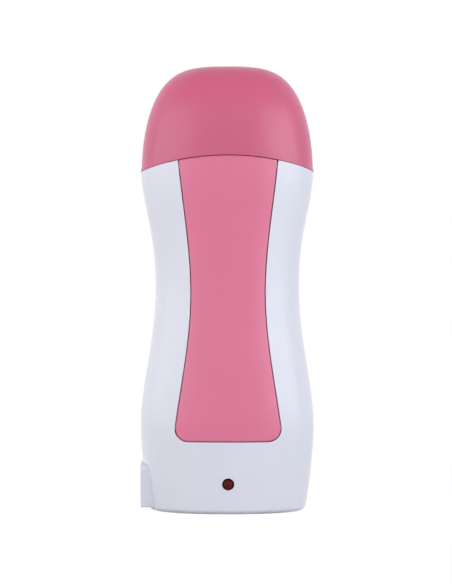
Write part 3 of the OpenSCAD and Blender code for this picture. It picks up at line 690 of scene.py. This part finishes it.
def front_half():
    outer, inner, kept = front_sheet()
    base_lines = outer[:, -1, 2] <= foot_r + 1e-6
    turns = turn_of(outer[base_lines, -1, 0], foot_r)
    turns[0], turns[-1] = math.pi / 2, -math.pi / 2
    post = [(axis_r, pilot_y), (pilot_r, pilot_y), (pilot_r, 0), (post_r, 0), (post_r, None), (axis_r, None)]
    return half([(outer, inner, kept), foot_sheet(turns, FRONT)], FRONT, [], post)


piece("front_casing", front_half(), casing_white, "casing", ["front_shell"])


def rear_half():
    columns, rows = 96, 71
    turns = np.radians(np.linspace(90, -90, columns + 1))
    turn = np.broadcast_to(turns, (rows + 1, columns + 1))
    z = foot_r + (under_cap(across(turn, shoulder_z)) - foot_r) * np.linspace(0, 1, rows + 1)[:, None]
    outer, inner = skin_points(across(turn, z), z, REAR, turn)
    bores = [round_cutter(x, z, head_way_r, seat_y - 2 * mm, bore_end_y) for x, z in screw_places]
    post = [(shank_way_r, 0), (post_r, 0), (post_r, None), (head_way_r, None),
            (head_way_r, seat_y), (shank_way_r, seat_y)]
    skin = [(outer, inner, np.ones((rows, columns), bool)), foot_sheet(turns, REAR)]
    return half(skin, REAR, bores, post)


piece("rear_casing", rear_half(), casing_white, "casing", ["rear_shell"])


# ---- Power inlet -------------------------------------------------------------------------
# A two-pole appliance inlet: a white nylon block that slides into the boss from behind, and
# two nickel-flashed brass pins, turned, pressed through its floor and tinned at the back.


def dress(material, *names):
    """Gives CAD nodes whose shape is right their real finish."""
    for name in names:
        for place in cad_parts[name].material_slots:
            place.material = material


def worked_metal(name, colour, roughness, grain=(1, 1, 1), fineness=700, stain=(1, 1, 1), edge=0.1 * mm):
    """Bare metal: streaks along the way it was worked, duller patches and a faint stain."""
    material, tree, shader, place = finish(name, Metallic=1)
    stretch = node(tree, "ShaderNodeMapping", Scale=grain)
    tree.links.new(place, stretch.inputs["Vector"])
    streaks = noise(tree, stretch.outputs["Vector"], fineness, 4)
    patches = noise(tree, place, 140, 3)
    dark, light = (tuple(min(c * s, 1) for c in colour) for s in (0.78, 1.08))
    stained = node(tree, "ShaderNodeMix", data_type="RGBA", blend_type="MULTIPLY", B=(*stain, 1))
    toned(tree, streaks, [(0.3, dark), (0.68, light)], stained.inputs["A"])
    tree.links.new(patches, stained.inputs["Factor"])
    tree.links.new(stained.outputs["Result"], shader.inputs["Base Color"])
    uneven_gloss(tree, patches, roughness * 0.7, roughness * 1.35, shader)
    raised(tree, streaks, 0.12, 0.05 * mm, shader, edge)
    return material


round_x = (1, 0.03, 0.03)  # marks that run round a part turned about X
inlet_nylon = moulded("inlet_nylon", (0.68, 0.68, 0.67), 0.45, cloud=0.04, peel=0.06, edge=0.15 * mm)
pin_nickel = worked_metal("pin_nickel", (0.72, 0.68, 0.58), 0.22, grain=round_x, stain=(0.95, 0.88, 0.72))
dress(inlet_nylon, "inlet_housing")
dress(pin_nickel, "inlet_pins")


# ---- Case screws -------------------------------------------------------------------------
# Four zinc-plated self-tapping screws with cross recesses, sunk in bores in the rear half.
# Their plating shows a faint yellow to blue passivation.

screw_zinc = worked_metal("screw_zinc", (0.6, 0.61, 0.62), 0.3, stain=(0.96, 0.92, 0.8), edge=0.12 * mm)
dress(screw_zinc, "case_screws")


# ---- Indicator lamp ----------------------------------------------------------------------
# A 5 mm lamp in dark red tinted epoxy, cast round its lead frame: a domed body with a flange
# that has a flat on one side. It stands on a small board with a resistor and a diode.

lamp_r, lamp_flange_r, lamp_flange_t = 2.5 * mm, 2.9 * mm, 1 * mm
lamp_tip_y = -25.5 * mm
lamp_foot_y = -17.4 * mm
lamp_flat_x = -2.62 * mm
board_front_y = -15.6 * mm
lead_x, lead_half = 1.27 * mm, 0.25 * mm


def lathed(profile, x, z, steps=64):
    """A solid turned about a line along Y, from (radius, y) pairs that start and end on it."""
    angles = np.linspace(0, 2 * math.pi, steps, endpoint=False)
    points = [(x, profile[0][1], z)]
    for r, y in profile[1:-1]:
        points += [(x + r * math.cos(a), y, z + r * math.sin(a)) for a in angles]
    points.append((x, profile[-1][1], z))
    last = len(points) - 1
    faces = [(0, 1 + k, 1 + (k + 1) % steps) for k in range(steps)]
    for ring in range(len(profile) - 3):
        a, b = 1 + ring * steps, 1 + (ring + 1) * steps
        faces += [(a + k, b + k, b + (k + 1) % steps, a + (k + 1) % steps) for k in range(steps)]
    a = last - steps
    faces += [(last, a + (k + 1) % steps, a + k) for k in range(steps)]
    return solid(points, faces)


def lamp_lens():
    arc = np.radians(np.linspace(0, 90, 14))
    dome = [(lamp_r * math.sin(a), lamp_tip_y + lamp_r * (1 - math.cos(a))) for a in arc]
    neck_r, soft = lamp_r + 0.08 * mm, 0.1 * mm  # soft: the rounding of the flange's edges
    flange_y = lamp_foot_y - lamp_flange_t
    foot = [(lamp_r, flange_y - 0.15 * mm), (neck_r, flange_y), (lamp_flange_r - soft, flange_y),
            (lamp_flange_r, flange_y + soft), (lamp_flange_r, lamp_foot_y - soft),
            (lamp_flange_r - soft, lamp_foot_y), (0, lamp_foot_y)]
    lens = lathed(dome + foot, 0, lamp_z)
    for v in lens.vertices:
        v.co.x = max(v.co.x, lamp_flat_x)
    return lens


def tinted_epoxy():
    """Dark red cast epoxy, its colour set by distance from the lamp's axis with painted light: a paler brown
    ring painted as the reflection of the lead frame's cup, and painted shade darkest at its rim.
    """
    material, tree, shader, place = finish(
        "lamp_epoxy", Specular_IOR_Level=0.07, Coat_Weight=0.05, Coat_Roughness=0.12)
    centred = node(tree, "ShaderNodeVectorMath", operation="SUBTRACT")
    centred.inputs[1].default_value = (0, 0, lamp_z)
    spot = node(tree, "ShaderNodeVectorMath", operation="MULTIPLY")
    spot.inputs[1].default_value = (1, 0, 1)
    away = node(tree, "ShaderNodeVectorMath", operation="LENGTH")
    spread = node(tree, "ShaderNodeMapRange", From_Max=lamp_r)
    tree.links.new(place, centred.inputs[0])
    tree.links.new(centred.outputs[0], spot.inputs[0])
    tree.links.new(spot.outputs[0], away.inputs[0])
    tree.links.new(away.outputs["Value"], spread.inputs["Value"])
    # Painted light: the paler ring half way out is a painted reflection of the lead frame's cup, and the
    # darkening towards the rim is painted shade.
    painted_cup_and_rim_reds = [(0, (0.062, 0.006, 0.009)), (0.3, (0.078, 0.006, 0.009)), (0.5, (0.12, 0.011, 0.012)),
            (0.75, (0.085, 0.004, 0.007)), (1, (0.03, 0.002, 0.005))]
    toned(tree, spread.outputs["Result"], painted_cup_and_rim_reds, shader.inputs["Base Color"])
    uneven_gloss(tree, noise(tree, place, 900, 2), 0.12, 0.24, shader)
    return material


def lamp_leads():
    """Two square leads from the lamp's foot to its board, each with its soldered fillet."""
    fillet = [(r * mm, board_front_y - y * mm)
              for r, y in ((0, 0.5), (0.36, 0.48), (0.45, 0.25), (0.8, 0), (0, 0))]
    leads = [block((x - lead_half, lamp_foot_y, lamp_z - lead_half),
                   (x + lead_half, board_front_y, lamp_z + lead_half)) for x in (-lead_x, lead_x)]
    return leads + [lathed(fillet, x, lamp_z, 24) for x in (-lead_x, lead_x)]


lead_tin = worked_metal("lead_tin", (0.7, 0.7, 0.7), 0.32, edge=0.05 * mm)
piece("indicator_lens", [lamp_lens()], tinted_epoxy(), "casing", ["lamp"], crease=50)
piece("indicator_leads", lamp_leads(), lead_tin, "casing")


def banded(name, body, bands, half_body, half_span, roughness):
    """A small axial part: painted bands round its body, and tinned leads beyond the body's ends."""
    material, tree, shader, place = finish(name)
    at_x = node(tree, "ShaderNodeSeparateXYZ")
    spread = node(tree, "ShaderNodeMapRange", From_Min=-half_span, From_Max=half_span)
    tree.links.new(place, at_x.inputs[0])
    tree.links.new(at_x.outputs["X"], spread.inputs["Value"])
    tin, metal, paint = (0.6, 0.6, 0.6), (1, 1, 1), (0, 0, 0)
    colours = [(-half_span, tin), (-half_body, body)]
    for start, end, colour in bands:
        colours += [(start, colour), (end, body)]
    colours.append((half_body, tin))
    coverings = [(-half_span, metal), (-half_body, paint), (half_body, metal)]
    for stops, socket in ((colours, "Base Color"), (coverings, "Metallic")):
        placed = [((x + half_span) / (2 * half_span), colour) for x, colour in stops]
        toned(tree, spread.outputs["Result"], placed, shader.inputs[socket], "CONSTANT")
    flow = noise(tree, place, 1200, 3)
    uneven_gloss(tree, flow, roughness * 0.8, roughness * 1.3, shader)
    raised(tree, flow, 0.15, 0.05 * mm, shader)
    return material


def solder_mask():
    """Green lacquer over copper: paler where the tracks run under it, with a fine speckle."""
    material, tree, shader, place = finish("board_lacquer")
    tracks = node(tree, "ShaderNodeTexWave", Scale=80, Distortion=3, Detail=0, Detail_Scale=0.5)
    tree.links.new(place, tracks.inputs["Vector"])
    greens = [(0.45, (0.008, 0.075, 0.024)), (0.55, (0.02, 0.14, 0.045))]
    toned(tree, tracks.outputs["Fac"], greens, shader.inputs["Base Color"])
    uneven_gloss(tree, noise(tree, place, 1500, 3), 0.25, 0.5, shader)
    raised(tree, tracks.outputs["Fac"], 0.4, 0.04 * mm, shader)
    return material


brown, black, red, gold = (0.16, 0.05, 0.02), (0.01, 0.01, 0.01), (0.5, 0.02, 0.02), (0.5, 0.36, 0.1)
resistor_bands = [(x * mm, (x + 0.55) * mm, colour) for x, colour in
                  ((-2.3, brown), (-1.2, black), (-0.1, red), (1.7, gold))]
cathode_band = [(1.5 * mm, 2.2 * mm, (0.55, 0.55, 0.56))]
lead_end = 5.5 * mm
resistor_lacquer = banded("resistor_lacquer", (0.6, 0.44, 0.24), resistor_bands, 3.2 * mm, lead_end, 0.3)
diode_epoxy = banded("diode_epoxy", (0.014, 0.014, 0.016), cathode_band, 2.6 * mm, lead_end, 0.45)
dress(solder_mask(), "lamp_board")
dress(resistor_lacquer, "lamp_resistor")
dress(diode_epoxy, "lamp_diode")


# ---- Well --------------------------------------------------------------------------------
# The cartridge stands on a moulded floor in a sleeve of extruded aluminium, open behind the
# front panel. A moulded ring in the casing's neck holds the top of the sleeve.

inner_white = moulded("inner_white", (0.64, 0.64, 0.65), 0.42, cloud=0.035, peel=0.05, edge=0.25 * mm)
up_z = (1, 1, 0.02)  # streaks that run up an extrusion or a strip
sleeve_aluminium = worked_metal("sleeve_aluminium", (0.66, 0.67, 0.68), 0.34, grain=up_z, fineness=900)
dress(inner_white, "well_floor", "mouth_ring")
dress(sleeve_aluminium, "heating_sleeve")


# ---- Heater ------------------------------------------------------------------------------
# A ceramic heating plate between two brass contact plates and two sheets of polyimide film,
# pressed on the back of the sleeve by a clamp of rolled spring steel on two rivets.

contact_brass = worked_metal("contact_brass", (0.7, 0.55, 0.27), 0.28, grain=up_z, stain=(0.9, 0.78, 0.6))
clamp_steel = worked_metal("clamp_steel", (0.42, 0.43, 0.45), 0.3, grain=up_z, stain=(0.8, 0.74, 0.7))
rivet_aluminium = worked_metal("rivet_aluminium", (0.68, 0.68, 0.69), 0.35)
fired_ceramic = moulded("fired_ceramic", (0.085, 0.08, 0.075), 0.75, cloud=0.35, peel=0.4, edge=0.2 * mm)
amber_film = moulded("amber_film", (0.42, 0.17, 0.015), 0.18, cloud=0.15, peel=0.03,
                     Coat_Weight=0.5, Transmission_Weight=0.35)
dress(fired_ceramic, "heater_element")
dress(contact_brass, "heater_electrodes")
dress(amber_film, "heater_insulation")
dress(clamp_steel, "heater_clamp")
dress(rivet_aluminium, "clamp_rivets")


# ---- Cut-outs and crimps -----------------------------------------------------------------
# A bimetal thermostat in a plated can and a one-shot fuse in braided glass sleeving, bonded to
# the sleeve and joined to the wires and the heater's tabs by tinned crimp barrels.

plated_can = worked_metal("plated_can", (0.62, 0.62, 0.63), 0.26, grain=up_z, edge=0.2 * mm)
crimp_tin = worked_metal("crimp_tin", (0.66, 0.66, 0.66), 0.36, fineness=1200, edge=0.15 * mm)
fuse_coating = moulded("fuse_coating", (0.58, 0.5, 0.3), 0.4, cloud=0.1, peel=0.08)


def braided_glass():
    """Two sets of slanting strands that cross, in cream glass fibre."""
    material, tree, shader, place = finish("braided_glass", Sheen_Weight=0.3)
    crossing = node(tree, "ShaderNodeMath", operation="MAXIMUM")
    for socket, lean in zip(crossing.inputs, (-35, 35)):
        turned = node(tree, "ShaderNodeMapping", Rotation=(0, math.radians(lean), 0))
        strands = node(tree, "ShaderNodeTexWave", Scale=380, Distortion=0.6, bands_direction="Z")
        tree.links.new(place, turned.inputs["Vector"])
        tree.links.new(turned.outputs["Vector"], strands.inputs["Vector"])
        tree.links.new(strands.outputs["Fac"], socket)
    creams = [(0, (0.42, 0.38, 0.28)), (1, (0.74, 0.7, 0.58))]
    toned(tree, crossing.outputs[0], creams, shader.inputs["Base Color"])
    uneven_gloss(tree, crossing.outputs[0], 0.8, 0.5, shader)
    raised(tree, crossing.outputs[0], 0.7, 0.15 * mm, shader)
    return material


dress(plated_can, "thermostat")
dress(crimp_tin, "crimps")
dress(fuse_coating, "thermal_fuse")
dress(braided_glass(), "fuse_sleeve")


# ---- Wiring ------------------------------------------------------------------------------
# Stranded copper in extruded silicone: brown and blue from the inlet's pins to the cut-outs,
# and two thin grey ones to the lamp's board.

silicone_colours = {"live_wire": (0.12, 0.045, 0.02), "neutral_wire": (0.02, 0.09, 0.36),
                    "lamp_wires": (0.05, 0.05, 0.055)}
for wire, colour in silicone_colours.items():
    dress(moulded(wire + "_silicone", colour, 0.5, cloud=0.12, peel=0.12), wire)


# ---- Front panel -------------------------------------------------------------------------
# A waisted pink panel moulded in glossy ABS, snapped into the front half from inside. Its
# edges are slightly rounded, and a narrow shadow gap runs round it.

panel_pink = moulded("panel_pink", (0.71, 0.168, 0.293), roughness=0.33)
panel_t, panel_round = 2.6 * mm, 0.42 * mm
lip_in, lip_out = -1.2 * mm, 1.8 * mm  # from the panel's edge
lip_front, lip_t, lip_top_z = 2.3 * mm, 1 * mm, 115 * mm


def panel_sheet():
    """A patch between the panel's edges. Its grid's corners are half way round the real ones."""
    columns, rows = 28, 64
    x, z = panel_edge(0, opening_top_z)
    half_corner = side_steps + corner_steps // 2

    def spaced(xs, zs, count):
        run = np.concatenate([[0], np.cumsum(np.hypot(np.diff(xs), np.diff(zs)))])
        at = np.linspace(0, run[-1], count + 1)
        return np.stack([np.interp(at, run, xs), np.interp(at, run, zs)], -1)

    right = spaced(x[half_corner::-1], z[half_corner::-1], rows)
    half_foot = spaced(x[:half_corner - 1:-1], z[:half_corner - 1:-1], columns // 2)
    left = right * [-1, 1]
    below = np.concatenate([half_foot[::-1] * [-1, 1], half_foot[1:]])
    top_x = np.linspace(left[-1, 0], right[-1, 0], columns + 1)
    above = np.stack([top_x, under_cap(top_x)], -1)
    u, v = np.meshgrid(np.linspace(0, 1, columns + 1), np.linspace(0, 1, rows + 1))
    u, v = u[..., None], v[..., None]
    ruled_up = (1 - v) * below[None] + v * above[None]
    ruled_across = (1 - u) * left[:, None] + u * right[:, None]
    corners = ((1 - u) * (1 - v) * left[0] + u * (1 - v) * right[0]
               + (1 - u) * v * left[-1] + u * v * right[-1])
    points = ruled_up + ruled_across - corners
    x, z = points[..., 0], points[..., 1]
    outer = np.stack([x, face(x, z, FRONT), z], -1)
    inner = np.stack([x, face(x, z, FRONT, panel_t), z], -1)
    return outer, inner, np.ones((rows, columns), bool)


def panel_lip():
    """The thin edge behind the panel that snaps under the rim of the opening."""
    rows = []
    for grow in (lip_in, lip_out):
        x, z = panel_edge(grow, lip_top_z)
        x, z = mirror_lines(x, -1), mirror_lines(z, 1)
        rows.append([np.stack([x, face(x, z, FRONT, inset), z], -1)
                     for inset in (lip_front, lip_front + lip_t)])
    outer, inner = (np.stack(points) for points in zip(*rows))
    return walled([(outer, inner, np.ones((1, outer.shape[1] - 1), bool))], marked=False)


piece("front_panel_skin", [shaped(walled([panel_sheet()]), panel_round), panel_lip()],
      panel_pink, "casing", ["front_panel"])


# ---- Cartridge ---------------------------------------------------------------------------
# A standard roll-on cartridge: an oval bottle blown in natural polypropylene, three quarters
# full of set honey wax, with a snap-on roller head moulded in white.


def set_wax():
    """Honey wax: light passes some way into it, with paler streaks and a softly dimpled skin."""
    material, tree, shader, place = finish(
        "honey_wax", Subsurface_Weight=0.6, Subsurface_Radius=(1, 0.45, 0.12), Subsurface_Scale=3 * mm)
    swirls = noise(tree, place, 70, 5, distortion=1.2)
    honeys = [(0.32, (0.5, 0.16, 0.01)), (0.7, (0.72, 0.32, 0.03))]
    toned(tree, swirls, honeys, shader.inputs["Base Color"])
    uneven_gloss(tree, swirls, 0.25, 0.5, shader)
    raised(tree, noise(tree, place, 120, 2), 0.15, 0.4 * mm, shader)
    return material


bottle_clear = moulded("bottle_clear", (0.86, 0.83, 0.76), 0.28, cloud=0.03, peel=0.02, Alpha=0.14)
head_white = moulded("head_white", (0.74, 0.735, 0.71), 0.26, peel=0.02, edge=0.3 * mm)
roller_white = moulded("roller_white", (0.8, 0.79, 0.76), 0.18, cloud=0.03, peel=0.015, edge=0.2 * mm)
dress(bottle_clear, "cartridge_bottle")
dress(set_wax(), "cartridge_wax")
dress(head_white, "roller_head")
dress(roller_white, "roller")


# ---- Cap ---------------------------------------------------------------------------------
# A domed pink cap moulded in glossy ABS, 1.8 mm thick, that pushes on over the neck. Its
# lower edge is arched front and back and flares a little to the sides.

cap_pink = moulded("cap_pink", (0.59, 0.1, 0.206), roughness=0.33)
cap_wall, cap_round = 1.8 * mm, 0.14 * mm
cap_edge_rise = 0.3 * mm  # the cap's edge stands this far above the arch, just over the casing's


def cap_heights(edge, share):
    """Heights between the edge and the top that close up towards the top."""
    return edge + (1 - edge) * np.sin(share * math.pi / 2)


def cap_sheet():
    columns, rows = 144, 48
    turns = np.radians(np.linspace(0, 360, columns + 1))
    x_share, y_share = squared(np.sin(turns)), -squared(np.cos(turns))
    skins = []
    for inset in (0, cap_wall):
        rise = top_z - inset - dome_z
        edge = np.zeros(len(turns))
        for _ in range(8):  # the edge's height and the cap's width there settle together
            a, b = cap_half_sizes(dome_z + rise * edge, inset)
            edge = (arch_at(a * x_share, cap_edge_rise) - dome_z) / rise
        skin = []
        for share in np.linspace(0, 1, rows + 1):
            z = dome_z + rise * cap_heights(edge, share)
            a, b = cap_half_sizes(z, inset)
            skin.append(np.stack([a * x_share, b * y_share, z], -1))
        skins.append(np.stack(skin))
    return skins[0], skins[1], np.ones((rows, columns), bool)


piece("domed_cap", [shaped(walled([cap_sheet()]), cap_round)], cap_pink, "cap", ["cap"])
